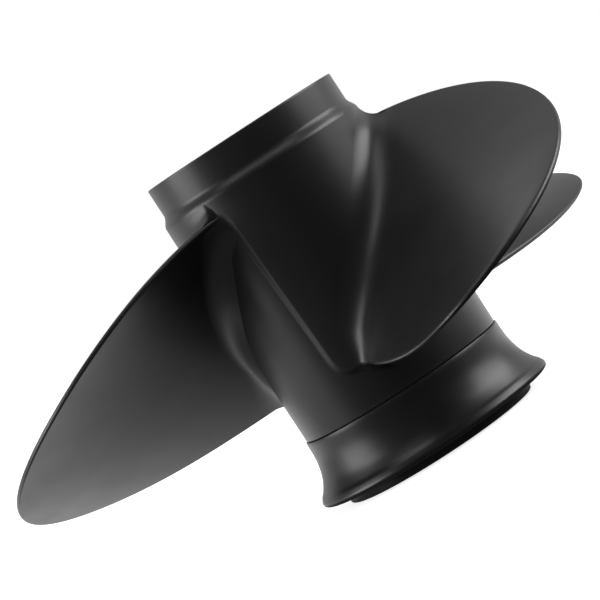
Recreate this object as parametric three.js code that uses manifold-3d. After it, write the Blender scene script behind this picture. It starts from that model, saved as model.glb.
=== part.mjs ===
// Three-blade right-hand outboard propeller with exhaust through the hub, 9 1/4 inches across, 10 inch pitch.
// Frame, in millimetres: +Z forward along the shaft axis, origin on it in the plane of the hub's aft end.
// Angles are measured about +Z from -Y towards +X, so a right-hand blade moves forward as its angle grows.
import * as THREE from 'three';
import { mergeVertices } from 'three/addons/utils/BufferGeometryUtils.js';
import Module from 'manifold-3d';

const wasm = await Module();
wasm.setup();

// ---- Driving dimensions, in millimetres and degrees ----
const GAP = 0.3;                    // kept between touching pieces
const ROUND_STEPS = 64;             // facets round a full turn of a large piece
const SMALL_STEPS = 32;             // facets round a full turn of a small piece

const PROPELLER_RADIUS = 117.5;
const BLADES = 3;
const FIRST_BLADE_ANGLE = 36.9;     // middle of the first blade's root
const BLADE_SPACING = 360 / BLADES;

const BARREL_LENGTH = 109.5;
const COLLAR_RADIUS = 31.7;         // forward collar
const COLLAR_LENGTH = 8.7;
const STEP_LENGTH = 3.8;            // soft step from the collar to the full barrel
const SHOULDER_Z = BARREL_LENGTH - COLLAR_LENGTH - STEP_LENGTH;
const BARREL_FRONT_RADIUS = 33.5;
const BARREL_AFT_RADIUS = 32.8;
const BORE_RADIUS = 28.8;           // inside of the barrel, outer wall of the exhaust way
const SPIGOT_RADIUS = 31.4;         // aft spigot inside the diffuser ring
const SEAM_Z = 22.6;                // where the ring meets the barrel's shoulder
const LIP_ROUND = 0.8;
const CHAMFER = 0.5;                // on the edges of machined pieces

const RING_FRONT_RADIUS = 33.25;
const FLARE_RADIUS = 38.9;
const FLARE_Z = 4.2;                // middle of the flare's rounded rim
const RING_WALL = 2.2;

const INNER_HUB_RADIUS = 20.8;
const INNER_HUB_BORE = 17.6;
const INNER_HUB_AFT_Z = 24;
const INNER_HUB_FRONT_Z = 99;
const RIB_THICKNESS = 4.5;
const RIB_AFT_Z = 27;
const RIB_FRONT_Z = 96;
const FIRST_RIB_ANGLE = 0;

const SLEEVE_RADIUS = 11.6;
const SLEEVE_AFT_Z = 22.3;
const SLEEVE_FRONT_Z = 84;
const SPLINE_TEETH = 12;
const SPLINE_ROOT_RADIUS = 8.2;     // bottom of the grooves
const SPLINE_TIP_RADIUS = 7.1;      // tops of the teeth
const RUBBER_AFT_Z = 29;
const RUBBER_FRONT_Z = 79;
const RUBBER_DISH = 2;              // how far the rubber's end faces sink at mid width

const THRUST_FLANGE_RADIUS = 16.2;
const THRUST_BOSS_RADIUS = 12.4;
const THRUST_BORE = 8.5;
const THRUST_FRONT_Z = 98;
const THRUST_FLANGE = 5;
const SPACER_RADIUS = 13.5;
const SPACER_THICKNESS = 5;
const WASHER_RADIUS = 12;
const WASHER_THICKNESS = 1.8;
const THREAD_RADIUS = 4.6;          // minor radius of the nut's M10 thread
const SHANK_BORE = 5.4;             // clears the M10 end of the shaft
const NUT_ACROSS_FLATS = 17;
const NUT_HEX_HEIGHT = 7.2;
const CROWN_RADIUS = 7.9;
const CROWN_HEIGHT = 4.6;
const CROWN_SLOT_WIDTH = 3.2;
const CROWN_FLOOR = 0.3;            // from the bottom of a slot to the hexagon
const NUT_CHAMFER = 0.9;            // height of the hexagon's chamfered corners
const PIN_WIRE = 1.2;               // each leg of the cotter pin
const PIN_LEG_SPACING = 0.85;       // from the pin's axis to the middle of a leg
const PIN_TIP_X = -9.2;
const PIN_EYE_X = 11.2;
const PIN_EYE_RADIUS = 1.9;

// The fastening stack, from the sleeve towards the stern.
const SPACER_FRONT_Z = SLEEVE_AFT_Z - GAP;
const WASHER_FRONT_Z = SPACER_FRONT_Z - SPACER_THICKNESS - GAP;
const NUT_FRONT_Z = WASHER_FRONT_Z - WASHER_THICKNESS - GAP;
const CROWN_FRONT_Z = NUT_FRONT_Z - NUT_HEX_HEIGHT;
const NUT_AFT_Z = CROWN_FRONT_Z - CROWN_HEIGHT;
const PIN_Z = CROWN_FRONT_Z - CROWN_HEIGHT / 2;

// Blade shape. "span" runs from 0 at the barrel to 1 at the tip.
const ROOT_RADIUS = 33;             // mean radius of the barrel where the blades stand
const ROOT_PITCH = 229;
const PITCH_GAIN = 189;
const PITCH_FALL = 175.5;
const ROOT_HALF_CHORD = 39.4;
const CHORD_GAIN = 0.748;
const CHORD_FALL = 0.457;
const TIP_ROUNDNESS = 3.87;
const LEADING_HOLLOW = 0.9;         // how far the leading edge draws in, most at a third of the span
const SKEW = [-7.9, 11.9, -20.4];   // degrees, for span, span squared and span cubed
const ROOT_MIDDLE_Z = 63.4;
const RAKE = [-3.9, -14.2];         // millimetres, for span and span squared
const ROOT_THICKNESS = 6.6;
const TIP_THICKNESS = 2.4;
const FORWARD_FILLET = 5;           // extra thickness on each face where the blade meets the barrel
const AFT_FILLET = 8;
const FILLET_SPAN = 0.06;
const EDGE_THICKNESS = 1.3;
const ROOT_DEPTH = 2;               // how far the uncut blade runs into the barrel
const BLADE_ROWS = 18;
const BLADE_COLUMNS = 14;
const ROW_SPREAD = 1.25;            // above 1 draws the rows towards the barrel
const LAST_ROW_SPAN = 0.9992;

const group = new THREE.Group();
const radians = THREE.MathUtils.degToRad;

// ---- Materials ----
const paint = () => new THREE.MeshStandardMaterial({ color: 0x1b1a1a, roughness: 0.42, metalness: 0.0 });
const rubber = () => new THREE.MeshStandardMaterial({ color: 0x121212, roughness: 0.85, metalness: 0.0 });
const bronze = () => new THREE.MeshStandardMaterial({ color: 0xa9763a, roughness: 0.35, metalness: 1.0 });
const steel = () => new THREE.MeshStandardMaterial({ color: 0xb4b4b0, roughness: 0.3, metalness: 1.0 });

// ---- Helpers ----
function addPiece(name, geometry, material) {
  const mesh = new THREE.Mesh(geometry, material);
  mesh.name = name;
  group.add(mesh);
  return mesh;
}

// A solid of revolution about Z from a closed loop of [radius, z] points that goes
// up the outside and down the inside.
function turned(profile, steps) {
  const points = [...profile, profile[0]].map(([r, z]) => new THREE.Vector2(r, z));
  return new THREE.LatheGeometry(points, steps).rotateX(Math.PI / 2);
}

// Points of a round corner, as [radius, z], from one angle to another.
function corner(r, z, radius, fromAngle, toAngle, steps) {
  return Array.from({ length: steps + 1 }, (_, i) => {
    const angle = radians(fromAngle + ((toAngle - fromAngle) * i) / steps);
    return [r + radius * Math.cos(angle), z + radius * Math.sin(angle)];
  });
}

function asSolid(geometry) {
  const bare = geometry.index ? geometry.toNonIndexed() : geometry.clone();
  bare.deleteAttribute('normal');
  bare.deleteAttribute('uv');
  const merged = mergeVertices(bare, 1e-4);
  return new wasm.Manifold(new wasm.Mesh({
    numProp: 3,
    vertProperties: new Float32Array(merged.attributes.position.array),
    triVerts: new Uint32Array(merged.index.array),
  }));
}

function asGeometry(solid) {
  const mesh = solid.getMesh();
  const geometry = new THREE.BufferGeometry();
  geometry.setAttribute('position', new THREE.BufferAttribute(mesh.vertProperties, 3));
  geometry.setIndex(new THREE.BufferAttribute(mesh.triVerts, 1));
  return geometry;
}

// A point at a radius and an angle from -Y towards +X.
function polar(radius, angle, z) {
  return [radius * Math.sin(angle), -radius * Math.cos(angle), z];
}

// ---- Hub barrel ----
// Outer radius of the barrel behind the collar, tapered over its length.
function barrelRadius(z) {
  const share = (z - SEAM_Z) / (SHOULDER_Z - SEAM_Z);
  return THREE.MathUtils.lerp(BARREL_AFT_RADIUS, BARREL_FRONT_RADIUS, THREE.MathUtils.clamp(share, 0, 1));
}

function hubBarrel() {
  const collarZ = BARREL_LENGTH - COLLAR_LENGTH;
  return turned([
    [BORE_RADIUS, 0],
    ...corner(SPIGOT_RADIUS - LIP_ROUND, LIP_ROUND, LIP_ROUND, -90, 0, 3),
    [SPIGOT_RADIUS, SEAM_Z],
    [BARREL_AFT_RADIUS - GAP, SEAM_Z],
    [BARREL_AFT_RADIUS, SEAM_Z + GAP],
    [BARREL_FRONT_RADIUS, SHOULDER_Z],
    [BARREL_FRONT_RADIUS - 0.3, SHOULDER_Z + STEP_LENGTH * 0.3],
    [COLLAR_RADIUS + 0.3, collarZ - STEP_LENGTH * 0.3],
    [COLLAR_RADIUS, collarZ],
    [COLLAR_RADIUS, BARREL_LENGTH - CHAMFER],
    [COLLAR_RADIUS - CHAMFER, BARREL_LENGTH],
    [BORE_RADIUS, BARREL_LENGTH],
  ], ROUND_STEPS);
}

// ---- Blades ----
// One point of a blade: across runs from -1 at the trailing edge to 1 at the leading edge,
// and side is 1 on the forward face, -1 on the aft face.
function bladePoint(span, across, side) {
  const nominalRadius = THREE.MathUtils.lerp(ROOT_RADIUS, PROPELLER_RADIUS, span);
  const pitch = ROOT_PITCH + PITCH_GAIN * span - PITCH_FALL * span ** 2;
  const slope = Math.atan2(pitch, 2 * Math.PI * nominalRadius);
  const roundOff = Math.sqrt(Math.max(0, 1 - span ** TIP_ROUNDNESS));
  const halfChord = ROOT_HALF_CHORD * (1 + CHORD_GAIN * span - CHORD_FALL * span ** 2) * roundOff;
  const skew = radians(SKEW[0] * span + SKEW[1] * span ** 2 + SKEW[2] * span ** 3);
  const middleZ = ROOT_MIDDLE_Z + RAKE[0] * span + RAKE[1] * span ** 2;
  const hollow = 2 * LEADING_HOLLOW * (1 - span) * Math.sin(Math.PI * span);
  const alongChord = across * halfChord - (hollow * (1 + across)) / 2;
  const lift = side > 0 ? forwardLift(span, across, roundOff) : -aftLift(span, across);
  const angle = skew + (alongChord * Math.cos(slope) - lift * Math.sin(slope)) / nominalRadius;
  const z = middleZ + alongChord * Math.sin(slope) + lift * Math.cos(slope);
  const rootRadius = barrelRadius(z) - ROOT_DEPTH;
  const radius = THREE.MathUtils.lerp(rootRadius, PROPELLER_RADIUS, span);
  return polar(radius, angle, z);
}

// Height of the arched forward face over the section's middle line.
function forwardLift(span, across, roundOff) {
  const thickness = THREE.MathUtils.lerp(ROOT_THICKNESS, TIP_THICKNESS, Math.sqrt(span));
  const fillet = FORWARD_FILLET * Math.exp(-span / FILLET_SPAN);
  const arch = (1 - Math.abs(across) ** 2.4) * roundOff ** 0.6;
  return EDGE_THICKNESS / 2 + (thickness + fillet - EDGE_THICKNESS) * arch;
}

// Depth of the flat aft face under the section's middle line.
function aftLift(span, across) {
  const fillet = AFT_FILLET * Math.exp(-span / FILLET_SPAN) * (1 - across ** 4);
  return EDGE_THICKNESS / 2 + fillet;
}

function blade() {
  const steps = Array.from({ length: BLADE_COLUMNS + 1 }, (_, i) => i / BLADE_COLUMNS);
  const places = steps.map((step) => -Math.cos(Math.PI * step));
  const loop = [
    ...places.map((across) => [across, 1]),
    ...places.toReversed().map((across) => [across, -1]),
  ];
  const rows = Array.from({ length: BLADE_ROWS + 1 }, (_, i) => {
    const span = Math.sin((Math.PI / 2) * (i / BLADE_ROWS)) ** ROW_SPREAD;
    return Math.min(span, LAST_ROW_SPAN);
  });
  const positions = rows.flatMap((span) => loop.flatMap(([across, side]) => bladePoint(span, across, side)));
  const size = loop.length;
  const index = [];
  for (let row = 0; row < BLADE_ROWS; row += 1) {
    for (let i = 0; i < size; i += 1) {
      const a = row * size + i;
      const b = row * size + ((i + 1) % size);
      index.push(a, a + size, b, b, a + size, b + size);
    }
  }
  const last = BLADE_ROWS * size;
  for (let i = 0; i < BLADE_COLUMNS; i += 1) {
    const j = size - 1 - i;
    index.push(i, i + 1, j, i + 1, j - 1, j);
    index.push(last + i + 1, last + i, last + j, last + j - 1, last + i + 1, last + j);
  }
  const geometry = new THREE.BufferGeometry();
  geometry.setAttribute('position', new THREE.Float32BufferAttribute(positions, 3));
  geometry.setIndex(index);
  return asGeometry(asSolid(geometry).subtract(asSolid(barrelClearance())));
}

// The barrel's outside grown by the gap, which trims the foot of each blade.
function barrelClearance() {
  return turned([
    [0, SEAM_Z - 5],
    [BARREL_AFT_RADIUS + GAP, SEAM_Z - 5],
    [BARREL_AFT_RADIUS + GAP, SEAM_Z],
    [BARREL_FRONT_RADIUS + GAP, SHOULDER_Z],
    [BARREL_FRONT_RADIUS + GAP, BARREL_LENGTH],
    [0, BARREL_LENGTH],
  ], ROUND_STEPS);
}

// ---- Diffuser ring: a flared bell round the spigot, open towards the stern ----
function diffuserRing() {
  const front = SEAM_Z - GAP;
  const seat = SPIGOT_RADIUS + GAP;
  const rim = RING_WALL / 2;
  const outside = new THREE.CubicBezierCurve(
    new THREE.Vector2(FLARE_RADIUS - rim * 0.25, FLARE_Z + rim * 0.95),
    new THREE.Vector2(FLARE_RADIUS - 3.6, FLARE_Z + 5.2),
    new THREE.Vector2(RING_FRONT_RADIUS + 0.4, FLARE_Z + 8.5),
    new THREE.Vector2(RING_FRONT_RADIUS, front - 0.6),
  );
  const groove = new THREE.QuadraticBezierCurve(
    new THREE.Vector2(seat + 0.4, FLARE_Z + 4.2),
    new THREE.Vector2(seat + 2.6, FLARE_Z + 2.2),
    new THREE.Vector2(FLARE_RADIUS - 2 * rim, FLARE_Z - rim * 0.6),
  );
  return turned([
    ...groove.getPoints(3).map((p) => [p.x, p.y]),
    ...corner(FLARE_RADIUS - rim, FLARE_Z, rim, -90, 30, 3),
    ...outside.getPoints(6).slice(1).map((p) => [p.x, p.y]),
    [RING_FRONT_RADIUS - 0.6, front],
    [seat, front],
    [seat, FLARE_Z + 4.6],
  ], ROUND_STEPS);
}

// ---- Inner hub and the ribs that carry it ----
function innerHub() {
  return turned([
    [INNER_HUB_BORE, INNER_HUB_AFT_Z],
    [INNER_HUB_RADIUS - 0.8, INNER_HUB_AFT_Z],
    [INNER_HUB_RADIUS, INNER_HUB_AFT_Z + 2],
    [INNER_HUB_RADIUS, INNER_HUB_FRONT_Z - 1],
    [INNER_HUB_RADIUS - 1, INNER_HUB_FRONT_Z],
    [INNER_HUB_BORE + 1.2, INNER_HUB_FRONT_Z],
    [INNER_HUB_BORE, INNER_HUB_FRONT_Z - 4],
  ], ROUND_STEPS);
}

// A flat radial plate with round ends that follow the two tubes.
function exhaustRib() {
  const half = RIB_THICKNESS / 2;
  const inner = INNER_HUB_RADIUS + GAP;
  const outer = BORE_RADIUS - GAP - 0.1;
  const inAngle = Math.asin(half / inner);
  const outAngle = Math.asin(half / outer);
  const shape = new THREE.Shape();
  shape.absarc(0, 0, inner, inAngle, -inAngle, true);
  shape.absarc(0, 0, outer, -outAngle, outAngle, false);
  shape.closePath();
  const height = RIB_FRONT_Z - RIB_AFT_Z;
  return new THREE.ExtrudeGeometry(shape, { depth: height, bevelEnabled: false, curveSegments: 3 })
    .rotateZ(-Math.PI / 2)
    .translate(0, 0, RIB_AFT_Z);
}

// ---- Shock-absorbing drive ----
function rubberBushing() {
  const outer = INNER_HUB_BORE - GAP;
  const inner = SLEEVE_RADIUS + GAP;
  const middle = (outer + inner) / 2;
  return turned([
    [inner, RUBBER_AFT_Z],
    [middle, RUBBER_AFT_Z + RUBBER_DISH],
    [outer - 0.6, RUBBER_AFT_Z + 0.4],
    [outer, RUBBER_AFT_Z + 1.5],
    [outer, RUBBER_FRONT_Z - 1.5],
    [outer - 0.6, RUBBER_FRONT_Z - 0.4],
    [middle, RUBBER_FRONT_Z - RUBBER_DISH],
    [inner, RUBBER_FRONT_Z],
  ], SMALL_STEPS);
}

// Tube with an internal spline of flat-sided teeth.
function driveSleeve() {
  const outline = new THREE.Shape().absarc(0, 0, SLEEVE_RADIUS, 0, 2 * Math.PI, false);
  const points = [];
  const pitchAngle = (2 * Math.PI) / SPLINE_TEETH;
  const corners = [
    [0.06, SPLINE_ROOT_RADIUS],
    [0.44, SPLINE_ROOT_RADIUS],
    [0.56, SPLINE_TIP_RADIUS],
    [0.94, SPLINE_TIP_RADIUS],
  ];
  for (let tooth = 0; tooth < SPLINE_TEETH; tooth += 1) {
    for (const [share, radius] of corners) {
      const angle = -(tooth + share) * pitchAngle;
      points.push(new THREE.Vector2(radius * Math.cos(angle), radius * Math.sin(angle)));
    }
  }
  outline.holes.push(new THREE.Path(points));
  const depth = SLEEVE_FRONT_Z - SLEEVE_AFT_Z;
  return new THREE.ExtrudeGeometry(outline, { depth, bevelEnabled: false, curveSegments: SMALL_STEPS })
    .translate(0, 0, SLEEVE_AFT_Z);
}

// ---- Fastening stack ----
function thrustWasher() {
  const flangeZ = THRUST_FRONT_Z - THRUST_FLANGE;
  return turned([
    [THRUST_BORE, SLEEVE_FRONT_Z + GAP],
    [THRUST_BOSS_RADIUS - 0.6, SLEEVE_FRONT_Z + GAP],
    [THRUST_BOSS_RADIUS, SLEEVE_FRONT_Z + GAP + 0.6],
    [THRUST_BOSS_RADIUS, flangeZ - 1.5],
    [THRUST_FLANGE_RADIUS, flangeZ],
    [THRUST_FLANGE_RADIUS, THRUST_FRONT_Z - 0.6],
    [THRUST_FLANGE_RADIUS - 0.6, THRUST_FRONT_Z],
    [THRUST_BORE + CHAMFER, THRUST_FRONT_Z],
    [THRUST_BORE, THRUST_FRONT_Z - CHAMFER],
  ], SMALL_STEPS);
}

function aftSpacer() {
  const back = SPACER_FRONT_Z - SPACER_THICKNESS;
  return turned([
    [SHANK_BORE, back],
    [SPACER_RADIUS - 1.6, back],
    [SPACER_RADIUS, back + 1.2],
    [SPACER_RADIUS, SPACER_FRONT_Z - 1.4],
    [SLEEVE_RADIUS, SPACER_FRONT_Z],
    [SHANK_BORE, SPACER_FRONT_Z],
  ], SMALL_STEPS);
}

function plainWasher() {
  const back = WASHER_FRONT_Z - WASHER_THICKNESS;
  return turned([
    [SHANK_BORE, back],
    [WASHER_RADIUS - 0.3, back],
    [WASHER_RADIUS, back + 0.3],
    [WASHER_RADIUS, WASHER_FRONT_Z - 0.3],
    [WASHER_RADIUS - 0.3, WASHER_FRONT_Z],
    [SHANK_BORE, WASHER_FRONT_Z],
  ], SMALL_STEPS);
}

// Hexagon with a slotted crown towards the stern.
function castleNut() {
  const flatRadius = NUT_ACROSS_FLATS / 2;
  const cornerRadius = NUT_ACROSS_FLATS / Math.sqrt(3);
  const hexagon = new THREE.CylinderGeometry(cornerRadius, cornerRadius, NUT_HEX_HEIGHT, 6)
    .rotateX(Math.PI / 2)
    .translate(0, 0, NUT_FRONT_Z - NUT_HEX_HEIGHT / 2);
  const crownEdge = [
    [0, NUT_AFT_Z],
    [CROWN_RADIUS - CHAMFER, NUT_AFT_Z],
    [CROWN_RADIUS, NUT_AFT_Z + CHAMFER],
  ];
  const crown = turned([
    ...crownEdge,
    [CROWN_RADIUS, CROWN_FRONT_Z + 1],
    [0, CROWN_FRONT_Z + 1],
  ], SMALL_STEPS);
  const chamfered = turned([
    ...crownEdge,
    [CROWN_RADIUS, CROWN_FRONT_Z],
    [flatRadius, CROWN_FRONT_Z],
    [cornerRadius, CROWN_FRONT_Z + NUT_CHAMFER],
    [cornerRadius, NUT_FRONT_Z - NUT_CHAMFER],
    [flatRadius, NUT_FRONT_Z],
    [0, NUT_FRONT_Z],
  ], SMALL_STEPS);
  const bore = turned([
    [0, NUT_AFT_Z - 1],
    [THREAD_RADIUS, NUT_AFT_Z - 1],
    [THREAD_RADIUS, NUT_FRONT_Z - 0.8],
    [THREAD_RADIUS + 1.8, NUT_FRONT_Z + 1],
    [0, NUT_FRONT_Z + 1],
  ], SMALL_STEPS);
  let nut = asSolid(hexagon).add(asSolid(crown)).intersect(asSolid(chamfered)).subtract(asSolid(bore));
  for (let i = 0; i < 3; i += 1) {
    const slot = new THREE.BoxGeometry(2 * CROWN_RADIUS + 2, CROWN_SLOT_WIDTH, CROWN_HEIGHT)
      .translate(0, 0, PIN_Z - CROWN_FLOOR)
      .rotateZ((i * Math.PI) / 3);
    nut = nut.subtract(asSolid(slot));
  }
  return asGeometry(nut);
}

// A split pin bent from one wire: two straight legs side by side and a round eye.
function cotterPin() {
  const path = new THREE.CurvePath();
  const side = PIN_LEG_SPACING;
  const reach = Math.sqrt(PIN_EYE_RADIUS ** 2 - side ** 2);
  const neck = PIN_EYE_X - reach;
  const open = Math.atan2(side, -reach);
  const at = (x, y) => new THREE.Vector3(x, y, PIN_Z);
  path.add(new THREE.LineCurve3(at(PIN_TIP_X, -side), at(neck, -side)));
  const eye = Array.from({ length: 11 }, (_, i) => {
    const angle = THREE.MathUtils.lerp(-open, open, i / 10);
    return at(PIN_EYE_X + PIN_EYE_RADIUS * Math.cos(angle), PIN_EYE_RADIUS * Math.sin(angle));
  });
  eye.slice(1).forEach((point, i) => path.add(new THREE.LineCurve3(eye[i], point)));
  path.add(new THREE.LineCurve3(at(neck, side), at(PIN_TIP_X + 1.2, side)));
  const wire = new THREE.Shape().absarc(0, 0, PIN_WIRE / 2, 0, 2 * Math.PI, false);
  const settings = { steps: 36, extrudePath: path, curveSegments: 3, bevelEnabled: false };
  return new THREE.ExtrudeGeometry(wire, settings);
}

// ---- Assembly ----
addPiece('hub_barrel', hubBarrel(), paint());
for (let i = 0; i < BLADES; i += 1) {
  const piece = addPiece('blade_' + (i + 1), blade(), paint());
  piece.rotation.z = radians(FIRST_BLADE_ANGLE + i * BLADE_SPACING);
}
addPiece('diffuser_ring', diffuserRing(), paint());
addPiece('inner_hub', innerHub(), paint());
for (let i = 0; i < BLADES; i += 1) {
  const piece = addPiece('exhaust_rib_' + (i + 1), exhaustRib(), paint());
  piece.rotation.z = radians(FIRST_RIB_ANGLE + i * BLADE_SPACING);
}
addPiece('rubber_bushing', rubberBushing(), rubber());
addPiece('drive_sleeve', driveSleeve(), bronze());
addPiece('thrust_washer', thrustWasher(), bronze());
addPiece('aft_spacer', aftSpacer(), bronze());
addPiece('plain_washer', plainWasher(), steel());
addPiece('castle_nut', castleNut(), steel());
addPiece('cotter_pin', cotterPin(), steel());

export default group;
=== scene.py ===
"""Outboard propeller, 9 1/4 by 10 inches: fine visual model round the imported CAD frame.

Lengths are in millimetres unless a comment says otherwise; make_piece turns them into metres
with MM. Angles round the shaft are measured from -Y towards +X, so a right-hand blade moves
forward (+Z) as its angle grows. Lights, floor and camera are in metres.
"""
import math

import bmesh
import bpy
import numpy as np
from mathutils import Matrix, Vector


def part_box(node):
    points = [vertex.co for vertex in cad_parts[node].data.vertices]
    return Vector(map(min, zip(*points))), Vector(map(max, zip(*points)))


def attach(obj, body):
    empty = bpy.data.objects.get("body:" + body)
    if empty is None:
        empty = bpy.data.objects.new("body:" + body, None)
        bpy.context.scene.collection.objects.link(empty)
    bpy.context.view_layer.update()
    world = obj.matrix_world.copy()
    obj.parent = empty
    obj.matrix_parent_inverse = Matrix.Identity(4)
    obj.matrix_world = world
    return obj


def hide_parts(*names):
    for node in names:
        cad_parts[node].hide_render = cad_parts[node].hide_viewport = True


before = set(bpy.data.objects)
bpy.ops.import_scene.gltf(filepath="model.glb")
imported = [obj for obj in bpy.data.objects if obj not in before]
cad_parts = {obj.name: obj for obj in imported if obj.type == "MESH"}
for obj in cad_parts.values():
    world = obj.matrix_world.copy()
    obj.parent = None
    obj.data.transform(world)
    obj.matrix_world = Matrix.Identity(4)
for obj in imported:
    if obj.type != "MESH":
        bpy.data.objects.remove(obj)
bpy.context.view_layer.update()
MM = 0.001


def extent(node):
    """Lowest z, highest z and outer radius of a turned CAD node, in millimetres."""
    low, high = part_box(node)
    return low.z / MM, high.z / MM, high.x / MM


# ---- Driving dimensions, taken from the frame where it holds them ----
_, BARREL_LENGTH, _ = extent("hub_barrel")
RING_AFT_Z, RING_FRONT_Z, FLARE_RADIUS = extent("diffuser_ring")
HUB_AFT_Z, HUB_FRONT_Z, HUB_RADIUS = extent("inner_hub")
RUBBER_AFT_Z, RUBBER_FRONT_Z, _ = extent("rubber_bushing")
SLEEVE_AFT_Z, SLEEVE_FRONT_Z, SLEEVE_RADIUS = extent("drive_sleeve")
THRUST_AFT_Z, THRUST_FRONT_Z, THRUST_RADIUS = extent("thrust_washer")
SPACER_AFT_Z, SPACER_FRONT_Z, SPACER_RADIUS = extent("aft_spacer")
WASHER_AFT_Z, WASHER_FRONT_Z, WASHER_RADIUS = extent("plain_washer")
NUT_AFT_Z, NUT_FRONT_Z, NUT_HALF_FLATS = extent("castle_nut")  # its flats face +X and -X
NUT_CORNER_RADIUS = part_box("castle_nut")[1].y / MM
RIB_LOW, RIB_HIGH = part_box("exhaust_rib_1")
PIN_LOW, PIN_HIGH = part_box("cotter_pin")

SEAM_Z = RING_FRONT_Z + 0.15  # where the barrel ends and the ring's thin seam begins
COLLAR_RADIUS = 31.7
STEP_Z = BARREL_LENGTH - 10.6  # middle of the soft step behind the collar
STEP_LENGTH = 3.8
FRONT_RADIUS = 33.3           # forward half of the casting, at the step
FRONT_DRAFT = 0.005           # radius gained per millimetre towards the stern
AFT_RADIUS = 32.8             # aft half of the casting, at the seam
AFT_DRAFT = 0.004             # radius gained per millimetre towards the bow
PARTING_WIDTH = 2.5           # width of the slope between the two halves
SPIGOT_RADIUS = 31.4
BORE_RADIUS = 28.8

TIP_RADIUS = 117.5
ROOT_RADIUS = 33.0
SPAN_LENGTH = TIP_RADIUS - ROOT_RADIUS
BLADES = 3
SPACING = math.radians(120)
FIRST_BLADE = math.radians(36.87)
ROOT_HALF_CHORD = 39.4
# Factors of 1, span, span squared and so on, with span from 0 at the root to 1 at the tip.
PITCH = (229, 189, -175.5)    # advance in one turn
CHORD = (1, 0.748, -0.457)    # share of the root's chord, before the tip is rounded off
SKEW = (0, -7.9, 11.9, -20.4)  # in degrees
MIDDLE_Z = (63.4, -3.9, -13.9)
TIP_ROUNDNESS = 3.87
ROOT_THICKNESS = 6.6
TIP_THICKNESS = 2.4
EDGE_THICKNESS = 1.3
ARCH_POWER = 2.4              # how full the forward face's arch is across the chord
ARCH_FADE = 0.6               # how the arch sinks where the tip's rounding shortens the chord
AFT_EDGE = 0.8                # the aft face's depth under the section's middle line
LEADING_HOLLOW = 0.9          # how far the leading edge draws in, most near a third of the span
TOE_ANGLE = math.radians(4.2)  # the leading edge runs out along the parting line at its root
TOE_RISE = -0.6
TOE_HEIGHT = 3.0


# ---- Mesh helpers ----
LEAST_BEND = 0.08             # curvature, in radians per millimetre, up to which nothing is marked
BEND_RANGE = 0.45             # curvature above that at which an edge or corner is fully marked
WELD_DISTANCE = 1e-7          # in metres


def mark_edges(mesh):
    """Store how sharply each point stands out (edge) or lies in a corner (hollow), from 0 to 1."""
    count = len(mesh.vertices)
    place = np.zeros(count * 3)
    normal = np.zeros(count * 3)
    ends = np.zeros(len(mesh.edges) * 2, dtype=int)
    mesh.vertices.foreach_get("co", place)
    mesh.vertex_normals.foreach_get("vector", normal)
    mesh.edges.foreach_get("vertices", ends)
    place = place.reshape(-1, 3) / MM
    normal = normal.reshape(-1, 3)
    first, second = ends.reshape(-1, 2).T
    along = place[second] - place[first]
    length = np.maximum((along * along).sum(axis=1), 1e-4)
    bend = ((normal[second] - normal[first]) * along).sum(axis=1) / length
    total = np.bincount(first, bend, count) + np.bincount(second, bend, count)
    shared = np.bincount(first, minlength=count) + np.bincount(second, minlength=count)
    curvature = total / np.maximum(shared, 1)
    for name, value in (("edge", curvature), ("hollow", -curvature)):
        layer = mesh.attributes.new(name, "FLOAT", "POINT")
        marked = np.clip((value - LEAST_BEND) / BEND_RANGE, 0, 1)
        layer.data.foreach_set("value", marked.astype(np.float32))


def make_piece(name, points, faces, cad_node, slot, body="propeller", sharp=40.0):
    """A mesh piece from points in millimetres, riding on a body and standing for a CAD node."""
    mesh = bpy.data.meshes.new(name)
    mesh.from_pydata((np.asarray(points) * MM).tolist(), [], faces)
    fixed = bmesh.new()
    fixed.from_mesh(mesh)
    bmesh.ops.remove_doubles(fixed, verts=fixed.verts, dist=WELD_DISTANCE)
    bmesh.ops.recalc_face_normals(fixed, faces=fixed.faces)
    fixed.to_mesh(mesh)
    fixed.free()
    mesh.shade_smooth()
    mesh.set_sharp_from_angle(angle=math.radians(sharp))
    mark_edges(mesh)
    piece = bpy.data.objects.new(name, mesh)
    bpy.context.scene.collection.objects.link(piece)
    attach(piece, body)
    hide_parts(cad_node)
    mesh.materials.append(MATERIALS[slot])
    return piece


def grid_faces(rows, columns, wrap_rows=False):
    """Quads over rows of points that each close on themselves."""
    faces = []
    for i in range(rows if wrap_rows else rows - 1):
        for j in range(columns):
            a = i * columns + j
            b = i * columns + (j + 1) % columns
            c = ((i + 1) % rows) * columns + (j + 1) % columns
            d = ((i + 1) % rows) * columns + j
            faces.append((a, b, c, d))
    return faces


def capped_tube(rows, columns):
    """The faces of a tube of closed rows, with one face over each end."""
    last = (rows - 1) * columns
    ends = [tuple(range(columns)), tuple(range(last, last + columns))]
    return grid_faces(rows, columns) + ends


def polar_points(radius, angle, z):
    """Points from a radius, an angle round the shaft and a height."""
    radius, angle, z = np.broadcast_arrays(radius, angle, z)
    return np.stack([radius * np.sin(angle), -radius * np.cos(angle), z], axis=-1)


def smooth(value):
    """An S-curve from 0 to 1."""
    value = np.clip(value, 0, 1)
    return value * value * (3 - 2 * value)


def full_turn(columns):
    return np.linspace(0, 2 * math.pi, columns, endpoint=False)


# ---- The blade as a formula ----
def polynomial(span, factors):
    """The factors times 1, span, span squared and so on, added up."""
    return sum(factor * span**power for power, factor in enumerate(factors))


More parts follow.
